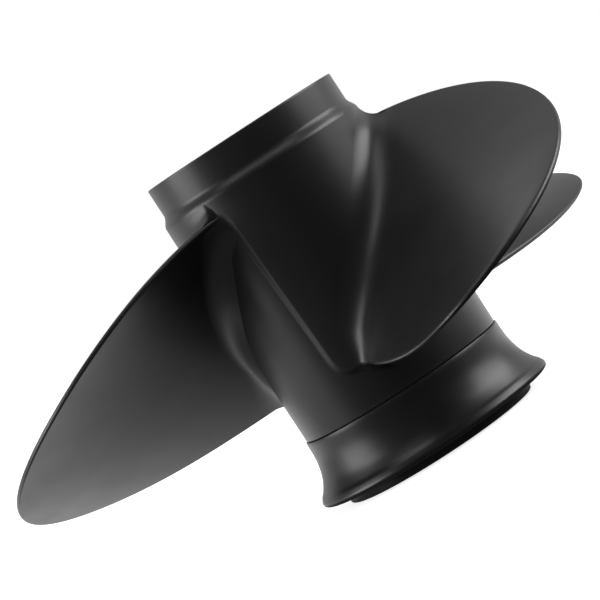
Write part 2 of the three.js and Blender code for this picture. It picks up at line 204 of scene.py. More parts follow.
def blade_sheet(span, across):
    """Middle surface of a blade: angle, height, slope of the section, radius and half chords.

    across runs from -1 at the trailing edge to 1 at the leading edge. The first half chord has
    the tip's rounding, the second is without it.
    """
    radius = ROOT_RADIUS + SPAN_LENGTH * span
    slope = np.arctan2(polynomial(span, PITCH), 2 * math.pi * radius)
    full = ROOT_HALF_CHORD * polynomial(span, CHORD)
    half = full * np.sqrt(np.clip(1 - span**TIP_ROUNDNESS, 0, None))
    skew = np.radians(polynomial(span, SKEW))
    middle = polynomial(span, MIDDLE_Z)
    hollow = LEADING_HOLLOW * 2 * (1 - span) * np.sin(math.pi * np.clip(span, 0, 1))
    along = across * half - hollow * (1 + across) / 2
    toe = smooth((across - 0.7) / 0.3) * np.exp(-span * SPAN_LENGTH / TOE_HEIGHT)
    angle = skew + along * np.cos(slope) / radius + TOE_ANGLE * toe
    return angle, middle + along * np.sin(slope) + TOE_RISE * toe, slope, radius, half, full


def blade_surface(span, across, side):
    """A point of the bare blade: angle, height and radius. side is 1 forward, -1 aft."""
    angle, z, slope, radius, half, full = blade_sheet(span, across)
    inside = np.clip(1 - span**TIP_ROUNDNESS, 0, None) - (across * half / full) ** 2
    steep_along = TIP_ROUNDNESS * span ** (TIP_ROUNDNESS - 1) / SPAN_LENGTH
    steep = np.hypot(2 * across * half / full**2, steep_along)
    from_edge = inside / np.maximum(steep, 1e-9)
    edge = EDGE_THICKNESS / 2
    rounding = np.sqrt(1 - (1 - np.clip(from_edge / edge, 0, 1)) ** 2)
    thickness = ROOT_THICKNESS + (TIP_THICKNESS - ROOT_THICKNESS) * np.sqrt(np.clip(span, 0, 1))
    arch = (1 - np.abs(across) ** ARCH_POWER) * np.clip(half / full, 0, 1) ** ARCH_FADE
    forward = edge + (thickness - EDGE_THICKNESS) * arch
    lift = np.where(side > 0, forward, -AFT_EDGE) * rounding
    return angle - lift * np.sin(slope) / radius, z + lift * np.cos(slope), radius


# ---- The barrel as a formula ----
def rounded_path(corners, radii, steps=6):
    """A path through corners in a plane, each inner corner turned into an arc-like curve."""
    corners = [np.array(corner, float) for corner in corners]
    path = [corners[0]]
    for before, corner, after, radius in zip(corners, corners[1:], corners[2:], radii):
        start = corner + (before - corner) / np.linalg.norm(before - corner) * radius
        end = corner + (after - corner) / np.linalg.norm(after - corner) * radius
        for step in range(steps + 1):
            t = step / steps
            path.append((1 - t) ** 2 * start + 2 * t * (1 - t) * corner + t * t * end)
    return path + [corners[-1]]


RIDGE_TOP = (math.radians(90.3) * ROOT_RADIUS, 91.6)
RIDGE_FOOT = (math.radians(95.0) * ROOT_RADIUS, 34.4)
RIDGE_ROUNDINGS = [2.6, 5.8]
ROOT_STEPS = 25


def parting_path():
    """Where the forward half of the casting steps down to the aft half, for one blade's share.

    It runs from the trailing end of a blade's root up its middle to the leading end, and down
    a ridge to the trailing end of the next blade. The first value is the arc at ROOT_RADIUS.
    """
    across = np.linspace(-1, 1, ROOT_STEPS)
    angle, z, *_ = blade_sheet(0 * across, across)
    root = list(zip((angle + FIRST_BLADE) * ROOT_RADIUS, z))
    next_root = (root[0][0] + SPACING * ROOT_RADIUS, root[0][1])
    ridge = rounded_path([root[-1], RIDGE_TOP, RIDGE_FOOT, next_root], RIDGE_ROUNDINGS)
    return np.array(root + [tuple(point) for point in ridge[1:]])


PARTING = parting_path()


def forward_share(angle, z):
    """1 on the forward half of the casting, 0 on the aft half, with the step between."""
    start = PARTING[0, 0]
    share = SPACING * ROOT_RADIUS
    arc_place = (angle * ROOT_RADIUS - start) % share + start
    height = np.interp(arc_place, PARTING[:, 0], PARTING[:, 1])
    line = np.concatenate([PARTING - [share, 0], PARTING[1:], PARTING[1:] + [share, 0]])
    point = np.stack(np.broadcast_arrays(arc_place, z), axis=-1)
    nearest = np.full(arc_place.shape, 1e9)
    for a, b in zip(line[:-1], line[1:]):
        step = b - a
        along = np.clip(((point - a) @ step) / max(step @ step, 1e-9), 0, 1)
        distance = np.linalg.norm(point - a - along[..., None] * step, axis=-1)
        nearest = np.minimum(nearest, distance)
    signed = np.where(z > height, nearest, -nearest)
    return smooth(0.5 + signed / PARTING_WIDTH)


def shoulder_radius(z):
    """Forward half of the casting: tapered, then a soft step down to the collar."""
    straight = FRONT_RADIUS + FRONT_DRAFT * (STEP_Z - np.minimum(z, STEP_Z))
    return straight - (straight - COLLAR_RADIUS) * smooth((z - STEP_Z) / STEP_LENGTH + 0.5)


def barrel_radius(angle, z):
    """Outer radius of the barrel, without the collar's square edge and the spigot."""
    front = shoulder_radius(z)
    aft = AFT_RADIUS + AFT_DRAFT * (z - SEAM_Z)
    return aft + (front - aft) * forward_share(angle, z)


RIDGE_START, RIDGE_END = 84, 108  # degrees between which a ridge needs close columns
SEAM_EDGE = 0.25


def barrel_columns():
    """Angles round the barrel, drawn together at the three ridges."""
    plain = np.concatenate([np.arange(0, RIDGE_START, 1.5), np.arange(RIDGE_END, 120, 1.5)])
    ridge = np.arange(RIDGE_START, RIDGE_END, 0.35)
    share = np.sort(np.concatenate([plain, ridge]))
    return np.radians(np.concatenate([share, share + 120, share + 240]))


def barrel_heights():
    """Heights along the outside, drawn together at the parting step's ends and at the collar."""
    low_step, high_step = STEP_Z - STEP_LENGTH / 2, STEP_Z + STEP_LENGTH / 2
    return np.concatenate([
        np.arange(SEAM_Z + SEAM_EDGE, 30, 0.8),
        np.arange(30, 40, 0.4),
        np.arange(40, 86, 1.0),
        np.arange(86, low_step, 0.4),
        np.arange(low_step, high_step + 0.3, 0.2),
    ])


def build_barrel():
    """The barrel with its collar, its parting step and the spigot that carries the ring."""
    columns = barrel_columns()
    outside = [(barrel_radius(columns, z + 0 * columns), z) for z in barrel_heights()]
    rest = rounded_loop([
        (COLLAR_RADIUS, BARREL_LENGTH, 0.45),
        (BORE_RADIUS, BARREL_LENGTH, 0.5),
        (BORE_RADIUS, 0, 0.4),
        (SPIGOT_RADIUS, 0, 0.7),
        (SPIGOT_RADIUS, SEAM_Z, 0),
        (AFT_RADIUS, SEAM_Z, SEAM_EDGE),
    ])
    rows = outside + [(radius + 0 * columns, z) for radius, z in rest[:-1]]
    points = np.concatenate([polar_points(radius, columns, z) for radius, z in rows])
    faces = grid_faces(len(rows), len(columns), wrap_rows=True)
    return make_piece("painted_barrel", points, faces, "hub_barrel", "black_paint")


# ---- Blades with their root fillets ----
SUCTION_FILLET = 7.6
PRESSURE_REACH = 11.0         # how far the aft side's fillet reaches over the barrel
PRESSURE_HEIGHT = 5.5         # how high it climbs the blade
TRAILING_REACH = 9.0          # the aft side's fillet runs into a web under the trailing edge
TRAILING_HEIGHT = 15.0
LEADING_END = 0.8             # reach and height right at the leading end of a blade's root
TRAILING_END_REACH = 3.0
TRAILING_END_HEIGHT = 4.5
FORWARD_END = 0.985           # shares of the half chord where the end fillets begin
AFT_END = 0.93
TRAILING_END = 0.975
FILLET_WEIGHT = 0.75          # how full the fillets' curves are
SOFT_WEIGHT = 0.7             # the same for the forward side's softer curve
SINK = 0.02                   # how far a fillet's edge lies under the barrel's surface
PRESSURE_SINK = 0.35          # deeper on the aft side, which leaves a crease there
BLADE_COLUMNS = 84
BLADE_ROWS = 56
FILLET_ROWS = 18
LAST_SPAN = 0.99965           # the tip closes just short of the span's end, where the chord is 0


def loop_normals(angle, z):
    """Outward directions of a closed loop on the unrolled barrel, smoothed round its ends."""
    flat = np.stack([angle * ROOT_RADIUS, z], axis=-1)
    tangent = np.roll(flat, -1, axis=0) - np.roll(flat, 1, axis=0)
    normal = np.stack([tangent[:, 1], -tangent[:, 0]], axis=-1)
    normal /= np.linalg.norm(normal, axis=1, keepdims=True)
    for _ in range(4):
        normal = (np.roll(normal, 1, axis=0) + 2 * normal + np.roll(normal, -1, axis=0)) / 4
        normal /= np.linalg.norm(normal, axis=1, keepdims=True)
    outward = ((flat - flat.mean(axis=0)) * normal).sum()
    return normal if outward > 0 else -normal


def fillet_sizes(across, side):
    """How far a fillet reaches over the barrel, how high it climbs the blade, and its sink.

    across says where along the root it is, from -1 at the trailing end to 1 at the leading end.
    """
    leading = smooth((across - 0.2) / 0.75)
    trailing = smooth((-across - 0.4) / 0.6)
    reach = PRESSURE_REACH * (1 - 0.33 * leading)
    reach = reach + (TRAILING_REACH - reach) * trailing
    height = PRESSURE_HEIGHT + (TRAILING_HEIGHT - PRESSURE_HEIGHT) * trailing
    forward = SUCTION_FILLET * (1 - 0.5 * smooth((-across - 0.75) / 0.25))
    reach = np.where(side > 0, forward, reach)
    height = np.where(side > 0, forward, height)
    start = np.where(side > 0, FORWARD_END, AFT_END)
    start = np.where(across < 0, TRAILING_END, start)
    tip = smooth((np.abs(across) - start) / (1 - start))
    crease = (side < 0) * smooth((1 - np.abs(across)) / 0.25)
    sink = SINK + (PRESSURE_SINK - SINK) * crease
    end_reach = np.where(across > 0, LEADING_END, TRAILING_END_REACH)
    end_height = np.where(across > 0, LEADING_END, TRAILING_END_HEIGHT)
    return reach + (end_reach - reach) * tip, height + (end_height - height) * tip, sink


def fillet_shares(t, side):
    """Shares of a fillet's top, corner and landing points along its curve, from 0 at the top.

    The forward side's curve flattens out at both ends, so no line shows where it starts.
    """
    soft_top = (1 - t) ** 4 + 2 * t * (1 - t) ** 3
    soft_land = t**4 + 2 * t**3 * (1 - t)
    top = np.where(side > 0, soft_top, (1 - t) ** 2)
    land = np.where(side > 0, soft_land, t**2)
    corner = np.where(side > 0, SOFT_WEIGHT, FILLET_WEIGHT) * (1 - top - land)
    total = top + corner + land
    return top / total, corner / total, land / total


def build_blade(number):
    """A blade: its fillet's rows from the barrel upwards, then the bare blade's to the tip."""
    place = FIRST_BLADE + (number - 1) * SPACING
    across = -np.cos(math.pi * np.arange(BLADE_COLUMNS + 1) / BLADE_COLUMNS)
    loop_across = np.concatenate([across, across[-2:0:-1]])
    side = np.concatenate([np.ones(BLADE_COLUMNS + 1), -np.ones(BLADE_COLUMNS - 1)])
    foot_angle, foot_z, _ = blade_surface(0 * loop_across, loop_across, side)
    normal = loop_normals(foot_angle, foot_z)
    reach, climb, sink = fillet_sizes(loop_across, side)
    start = climb / SPAN_LENGTH
    top_angle, top_z, top_radius = blade_surface(start, loop_across, side)
    top_height = top_radius - barrel_radius(top_angle + place, top_z)
    land_angle = foot_angle + normal[:, 0] * reach / ROOT_RADIUS
    land_z = foot_z + normal[:, 1] * reach
    points = []
    for step in range(FILLET_ROWS):
        t = 1 - step / FILLET_ROWS
        top, corner, land = fillet_shares(t, side)
        angle = top * top_angle + corner * foot_angle + land * land_angle
        z = top * top_z + corner * foot_z + land * land_z
        height = top * top_height - sink * t**6
        points.append(polar_points(barrel_radius(angle + place, z) + height, angle + place, z))
    for row in range(BLADE_ROWS + 1):
        share = min(math.sin(math.pi / 2 * row / BLADE_ROWS), LAST_SPAN)
        angle, z, radius = blade_surface(start + (1 - start) * share, loop_across, side)
        points.append(polar_points(radius, angle + place, z))
    count = len(loop_across)
    faces = grid_faces(len(points), count)
    for first in (0, (len(points) - 1) * count):
        for i in range(BLADE_COLUMNS):
            corners = (i, i + 1, (count - i - 1) % count, (count - i) % count)
            faces.append(tuple(first + corner for corner in dict.fromkeys(corners)))
    return make_piece(f"painted_blade_{number}", np.concatenate(points), faces,
                      f"blade_{number}", "black_paint", sharp=70.0)


# ---- Turned pieces ----
FLAT_GUARD = 1.2              # a point just past each rounding, which keeps the flat's shading flat


def rounded_loop(corners, steps=4):
    """A closed profile of (radius, z, rounding) corners as points, with flats held flat."""
    loop = []
    previous = corners[-1:] + corners[:-1]
    following = corners[1:] + corners[:1]
    for before, corner, after in zip(previous, corners, following):
        place, rounding = np.array(corner[:2]), corner[2]
        if rounding == 0:
            loop.append(tuple(place))
            continue
        back = np.array(before[:2]) - place
        ahead = np.array(after[:2]) - place
        back *= rounding / np.linalg.norm(back)
        ahead *= rounding / np.linalg.norm(ahead)
        loop.append(tuple(place + FLAT_GUARD * back))
        for step in range(steps + 1):
            t = step / steps
            loop.append(tuple(place + (1 - t) ** 2 * back + t**2 * ahead))
        loop.append(tuple(place + FLAT_GUARD * ahead))
    return loop


def turned(name, profile, cad_node, slot, body="propeller", columns=144, sharp=40.0):
    """A piece made by turning a closed profile of (radius, z) points round the shaft."""
    angle = full_turn(columns)
    points = np.concatenate([polar_points(radius, angle, z) for radius, z in profile])
    faces = grid_faces(len(profile), columns, wrap_rows=True)
    return make_piece(name, points, faces, cad_node, slot, body, sharp)


def smooth_curve(knots, steps):
    """A Catmull-Rom curve through [radius, z] knots."""
    knots = [np.array(knot, float) for knot in knots]
    knots = [2 * knots[0] - knots[1], *knots, 2 * knots[-1] - knots[-2]]
    curve = []
    for p0, p1, p2, p3 in zip(knots, knots[1:], knots[2:], knots[3:]):
        for i in range(steps):
            t = i / steps
            bend = (2 * p0 - 5 * p1 + 4 * p2 - p3) * t**2 + (3 * p1 - p0 - 3 * p2 + p3) * t**3
            curve.append(tuple(0.5 * (2 * p1 + (p2 - p0) * t + bend)))
    curve.append(tuple(knots[-2]))
    return curve


RING_FRONT_RADIUS = 33.25
RIM_RADIUS = 1.1              # rounding of the flare's rim
SEAT_RADIUS = SPIGOT_RADIUS + 0.1


def build_ring():
    """Diffuser ring: a flared bell, hollow behind its rounded rim."""
    middle_radius = FLARE_RADIUS - RIM_RADIUS
    middle_z = RING_AFT_Z + RIM_RADIUS
    inside = smooth_curve([
        (SEAT_RADIUS + 0.2, 9.6),
        (SEAT_RADIUS + 1.2, 7.6),
        (34.6, 5.4),
        (middle_radius - RIM_RADIUS, 3.6),
    ], 5)
    rim = []
    for turn in np.radians(np.linspace(-130, 30, 12)):
        out, up = RIM_RADIUS * math.cos(turn), RIM_RADIUS * math.sin(turn)
        rim.append((middle_radius + out, middle_z + up))
    outside = smooth_curve([
        (FLARE_RADIUS - 0.18, middle_z + 0.65),
        (38.0, 6.0),
        (36.9, 7.25),
        (35.25, 10.0),
        (34.15, 13.1),
        (33.45, 16.8),
        (RING_FRONT_RADIUS, RING_FRONT_Z - 0.5),
    ], 6)
    front = [
        (RING_FRONT_RADIUS - 0.1, RING_FRONT_Z - 0.12),
        (RING_FRONT_RADIUS - 0.4, RING_FRONT_Z),
        (SEAT_RADIUS, RING_FRONT_Z),
        (SEAT_RADIUS, 10.2),
    ]
    return turned("painted_diffuser_ring", [*inside, *rim, *outside, *front], "diffuser_ring",
                  "black_paint", columns=240, sharp=50.0)


# ---- Inside of the hub ----
HUB_BORE = 17.6
RIB_FILLET = 2.6
RIB_HALF_THICKNESS = -RIB_LOW.x / MM
RIB_SCOOP = 5.0               # how far a rib's ends are hollowed between the two tubes
RIB_STEPS = 25
TOUCH = 0.1                   # a rib reaches this far into both tubes; the rubber stays this far
                              # off the sleeve, and half as far off the tube it is pressed into


def build_inner_hub():
    """The tube that holds the rubber: drafted outside, with a lead-in for the pressed bushing."""
    profile = rounded_loop([
        (HUB_BORE, HUB_AFT_Z, 0.7),
        (HUB_RADIUS - 0.4, HUB_AFT_Z, 1.2),
        (HUB_RADIUS, HUB_FRONT_Z - 6, 0.5),
        (HUB_RADIUS - 0.3, HUB_FRONT_Z, 1.1),
        (HUB_BORE + 1.0, HUB_FRONT_Z, 0.5),
        (HUB_BORE, HUB_FRONT_Z - 4, 0.6),
    ])
    return turned("painted_inner_hub", profile, "inner_hub", "black_paint")


def fillet_rise(distance, size):
    """Height of a round fillet at a distance from the wall that it runs up."""
    reach = np.clip(distance, 0, size)
    return size - np.sqrt(size**2 - (size - reach) ** 2)


def build_rib(number):
    """A cast web from the inner hub to the barrel, flared into both and scooped at its ends."""
    place = (number - 1) * SPACING
    inner, outer = HUB_RADIUS - TOUCH, BORE_RADIUS + TOUCH
    share = (1 - np.cos(np.linspace(0, math.pi, RIB_STEPS))) / 2
    low, high = RIB_LOW.z / MM, RIB_HIGH.z / MM
    turn = full_turn(40)
    points = []
    for radius in inner + (outer - inner) * share:
        flare = fillet_rise(radius - inner, RIB_FILLET) + fillet_rise(outer - radius, RIB_FILLET)
        half = RIB_HALF_THICKNESS + flare
        scoop = RIB_SCOOP * math.sin(math.pi * (radius - inner) / (outer - inner)) ** 0.8
        inset = scoop + RIB_HALF_THICKNESS
        across = half * np.sign(np.cos(turn)) * np.abs(np.cos(turn)) ** 0.6
        end = np.where(np.sin(turn) > 0, high - inset, low + inset)
        z = end + RIB_HALF_THICKNESS * np.sin(turn)
        points.append(polar_points(radius, place + across / radius, z))
    faces = capped_tube(len(points), len(turn))
    return make_piece(f"painted_exhaust_rib_{number}", np.concatenate(points), faces,
                      f"exhaust_rib_{number}", "black_paint", sharp=60.0)


RUBBER_DISH = 1.9             # depth of the hollow moulded in each end
RUBBER_LIP = 0.9


def build_rubber():
    """The pressed bushing: both ends are dished between a lip at the sleeve and one at the hub."""
    inner, outer = SLEEVE_RADIUS + TOUCH, HUB_BORE - TOUCH / 2
    half_end = [                  # from the sleeve outwards: radius, depth below the end, rounding
        (inner, 0, 0),
        (inner + RUBBER_LIP, 0, 0.35),
        ((inner + outer) / 2, RUBBER_DISH, 1.4),
        (outer - 1.2 * RUBBER_LIP, 0.4, 0.35),
        (outer - 0.3, 0.4, 0.25),
        (outer, 1.6, 0.3),
    ]
    aft = [(radius, RUBBER_AFT_Z + depth, rounding) for radius, depth, rounding in half_end]
    front = [(radius, RUBBER_FRONT_Z - depth, rounding) for radius, depth, rounding in half_end]
    profile = rounded_loop(aft + front[::-1])
    return turned("moulded_rubber_bushing", profile, "rubber_bushing", "bushing_rubber")


SPLINE_TEETH = 12
SPLINE_GROOVE_RADIUS = 8.2
SPLINE_TOOTH_HEIGHT = 1.1
FIRST_TOOTH = math.radians(7.5)
TOOTH_HALF_WIDTH = 0.25       # at mid height, as a share of the pitch
TOOTH_FLANK = 0.11            # width of a tooth's side, as a share of the pitch
TOOTH_INSET = 0.5             # how far the teeth start behind the sleeve's faces
TOOTH_LEAD = 0.9              # length over which they rise


def spline_tooth(angle):
    """1 on a tooth of the internal spline, 0 in a groove."""
    phase = ((angle - FIRST_TOOTH) * SPLINE_TEETH / (2 * math.pi) + 0.5) % 1 - 0.5
    return smooth((TOOTH_HALF_WIDTH - np.abs(phase)) / TOOTH_FLANK + 0.5)


def build_sleeve():
    """The bronze sleeve: plain outside, an internal spline with led-in teeth."""
    angle = full_turn(SPLINE_TEETH * 32)
    splined = SPLINE_GROOVE_RADIUS - SPLINE_TOOTH_HEIGHT * spline_tooth(angle)
    plain = SPLINE_GROOVE_RADIUS + 0.1 + 0 * angle
    mouth = SPLINE_GROOVE_RADIUS + 0.5
    low, high = SLEEVE_AFT_Z, SLEEVE_FRONT_Z
    outside = rounded_loop([
        (mouth, low, 0),
        (SLEEVE_RADIUS, low, 0.45),
        (SLEEVE_RADIUS, high, 0.45),
        (mouth, high, 0),
    ])
    rows = [(radius + 0 * angle, z) for radius, z in outside]
    rows.append((plain, high - TOOTH_INSET))
    rows.append((splined, high - TOOTH_INSET - TOOTH_LEAD))
    for share in np.linspace(0.06, 0.94, 8):
        rows.append((splined, high + (low - high) * share))
    rows.append((splined, low + TOOTH_INSET + TOOTH_LEAD))
    rows.append((plain, low + TOOTH_INSET))
    points = np.concatenate([polar_points(radius, angle, z) for radius, z in rows])
    faces = grid_faces(len(rows), len(angle), wrap_rows=True)
    return make_piece("splined_drive_sleeve", points, faces, "drive_sleeve", "bronze", "drive",
                      sharp=35.0)


# ---- Fastening stack ----
THRUST_BORE = 8.5
THRUST_BOSS_RADIUS = 12.4
THRUST_FLANGE = 5.0
SHANK_BORE = 5.4


def build_thrust_washer():
    """The flanged washer between the sleeve and the shaft's shoulder."""
    flange_z = THRUST_FRONT_Z - THRUST_FLANGE
    profile = rounded_loop([
        (THRUST_BORE, THRUST_AFT_Z, 0.4),
        (THRUST_BOSS_RADIUS, THRUST_AFT_Z, 0.7),
        (THRUST_BOSS_RADIUS, flange_z - 1.5, 0.8),
        (THRUST_RADIUS, flange_z, 0.4),
        (THRUST_RADIUS, THRUST_FRONT_Z, 0.7),
        (THRUST_BORE, THRUST_FRONT_Z, 0.6),
    ])
    return turned("turned_thrust_washer", profile, "thrust_washer", "bronze", "forward_washer")


def build_spacer():
    """The spacer behind the sleeve, sloped off on both sides."""
    profile = rounded_loop([
        (SHANK_BORE, SPACER_AFT_Z, 0.3),
        (SPACER_RADIUS - 1.6, SPACER_AFT_Z, 0.3),
        (SPACER_RADIUS, SPACER_AFT_Z + 1.2, 0.4),
        (SPACER_RADIUS, SPACER_FRONT_Z - 1.4, 0.4),
        (SLEEVE_RADIUS, SPACER_FRONT_Z, 0.3),
        (SHANK_BORE, SPACER_FRONT_Z, 0.3),
    ])
    return turned("turned_aft_spacer", profile, "aft_spacer", "bronze", "aft_stack")


def build_washer():
    """A punched washer: rounded where the punch entered, square where it left."""
    profile = rounded_loop([
        (SHANK_BORE, WASHER_AFT_Z, 0.45),
        (WASHER_RADIUS, WASHER_AFT_Z, 0.45),
        (WASHER_RADIUS, WASHER_FRONT_Z, 0.12),
        (SHANK_BORE, WASHER_FRONT_Z, 0.12),
    ])
    return turned("punched_plain_washer", profile, "plain_washer", "stainless_steel", "aft_stack")


NUT_HEX_HEIGHT = 7.2
NUT_FACE_RADIUS = 8.2         # flat face inside the chamfer
NUT_CHAMFER = math.radians(30)
NUT_CORNER_WEAR = 0.12
THREAD_MINOR_RADIUS = 4.25
THREAD_DEPTH = 0.7
THREAD_PITCH = 1.25
CROWN_TEETH = 6
CROWN_RADIUS = 7.9
CROWN_ROOT = 0.2              # how far a tooth of the crown stands in the hexagon
SLOT_HALF_WIDTH = 1.6
TOOTH_TIP = [(0.55, 0), (0.4, 0.02), (0.12, 0.07), (0, 0.13)]  # height above the tip, shrinkage


def nut_body():
    """The hexagon with chamfered ends and a threaded bore, as points and faces."""
    angle = full_turn(180)
    hexagon = NUT_HALF_FLATS / np.cos(angle % math.radians(60) - math.radians(30))
    hexagon = np.minimum(hexagon, NUT_CORNER_RADIUS - NUT_CORNER_WEAR)
    fall = (hexagon - NUT_FACE_RADIUS) * math.tan(NUT_CHAMFER)
    low, high = NUT_FRONT_Z - NUT_HEX_HEIGHT, NUT_FRONT_Z
    mouth = THREAD_MINOR_RADIUS + THREAD_DEPTH + 0.5
    rows = [
        (NUT_FACE_RADIUS, low),
        (hexagon, low + fall),
        (hexagon, high - fall),
        (NUT_FACE_RADIUS, high),
        (mouth, high),
    ]
    for z in np.arange(high - 0.7, low + 0.4, -THREAD_PITCH / 8):
        turn = (z / THREAD_PITCH - angle / (2 * math.pi)) % 1
        rows.append((THREAD_MINOR_RADIUS + THREAD_DEPTH * np.abs(2 * turn - 1), z))
    rows.append((mouth - 0.3, low))
    points = np.concatenate([polar_points(radius, angle, z) for radius, z in rows])
    return points, grid_faces(len(rows), len(angle), wrap_rows=True)


def crown_tooth(angle, low, high):
    """One upright tooth of the crown, between two slots with parallel walls."""
    inner = THREAD_MINOR_RADIUS + 0.5
    half_share = math.pi / CROWN_TEETH
    outer_half = half_share - math.asin(SLOT_HALF_WIDTH / CROWN_RADIUS)
    inner_half = half_share - math.asin(SLOT_HALF_WIDTH / inner)
    outline = [(CROWN_RADIUS, turn) for turn in np.linspace(-outer_half, outer_half, 13)]
    outline += [(inner, turn) for turn in np.linspace(inner_half, -inner_half, 7)]
    flat = np.array([(radius * math.cos(turn), radius * math.sin(turn))
                     for radius, turn in outline])
    middle = flat.mean(axis=0)
    levels = [(high, 0)] + [(low + above, shrink) for above, shrink in TOOTH_TIP]
    points = []
    for z, shrink in levels:
        ring = flat + (middle - flat) * shrink
        radius, turn = np.hypot(ring[:, 0], ring[:, 1]), np.arctan2(ring[:, 1], ring[:, 0])
        points.append(polar_points(radius, angle + turn, z))
    return np.concatenate(points), capped_tube(len(levels), len(flat))


def build_nut():
    """The castle nut: a hexagon and six crown teeth, which the pin passes between."""
    shells = [nut_body()]
    crown_z = NUT_FRONT_Z - NUT_HEX_HEIGHT
    for number in range(CROWN_TEETH):
        place = 2 * math.pi / CROWN_TEETH * number
        shells.append(crown_tooth(place, NUT_AFT_Z, crown_z + CROWN_ROOT))
    points, faces, count = [], [], 0
    for shell_points, shell_faces in shells:
        points.append(shell_points)
        faces += [tuple(corner + count for corner in face) for face in shell_faces]
        count += len(shell_points)
    return make_piece("slotted_castle_nut", np.concatenate(points), faces, "castle_nut",
                      "stainless_steel", "nut", sharp=25.0)


PIN_LEG_SPACING = 0.85        # from the pin's axis to the middle of a leg
PIN_HALF_WIDTH = 0.6
PIN_HALF_HEIGHT = 0.8
PIN_EYE_RADIUS = 1.9          # to the middle of the wire
PIN_NECK = 1.2                # from the eye to the straight legs
PIN_LEG_DIFFERENCE = 1.2
PIN_TIP = 0.72                # size of the dressed tips against the wire


def pin_path():
    """Middle line of the bent wire in the pin's plane, from one tip round the eye to the other."""
    eye_x = PIN_HIGH.x / MM - PIN_EYE_RADIUS - PIN_HALF_WIDTH
    tip_x = PIN_LOW.x / MM
    opening = math.atan2(PIN_LEG_SPACING, -PIN_EYE_RADIUS)
    neck_x = eye_x - PIN_EYE_RADIUS
    path = [(x, -PIN_LEG_SPACING) for x in np.linspace(tip_x, neck_x - PIN_NECK, 12)]
    for turn in np.linspace(-opening, opening, 33):
        path.append((eye_x + PIN_EYE_RADIUS * math.cos(turn), PIN_EYE_RADIUS * math.sin(turn)))
    second_tip_x = tip_x + PIN_LEG_DIFFERENCE
    path += [(x, PIN_LEG_SPACING) for x in np.linspace(neck_x - PIN_NECK, second_tip_x, 12)]
    return np.array(path)


def build_pin():
    """A split pin: half-round wire, flat side inwards, with dressed tips."""
    path = pin_path()
    tangent = np.gradient(path, axis=0)
    tangent /= np.linalg.norm(tangent, axis=1, keepdims=True)
    outward = np.stack([tangent[:, 1], -tangent[:, 0]], axis=-1)
    turn = np.linspace(-math.pi / 2, math.pi / 2, 13)
    width = 2 * PIN_HALF_WIDTH * np.cos(turn) ** 0.8 - PIN_HALF_WIDTH
    height = PIN_HALF_HEIGHT * np.sin(turn)
    middle_z = (PIN_LOW.z + PIN_HIGH.z) / 2 / MM
    points = []
    for number, (place, direction) in enumerate(zip(path, outward)):
        from_end = min(number, len(path) - 1 - number)
        scale = PIN_TIP if from_end == 0 else 1.0
        flat = place + direction * (width * scale)[:, None]
        points.append(np.column_stack([flat, middle_z + height * scale]))
    faces = capped_tube(len(points), len(turn))
    return make_piece("bent_cotter_pin", np.concatenate(points), faces, "cotter_pin",
                      "stainless_steel", "pin", sharp=45.0)


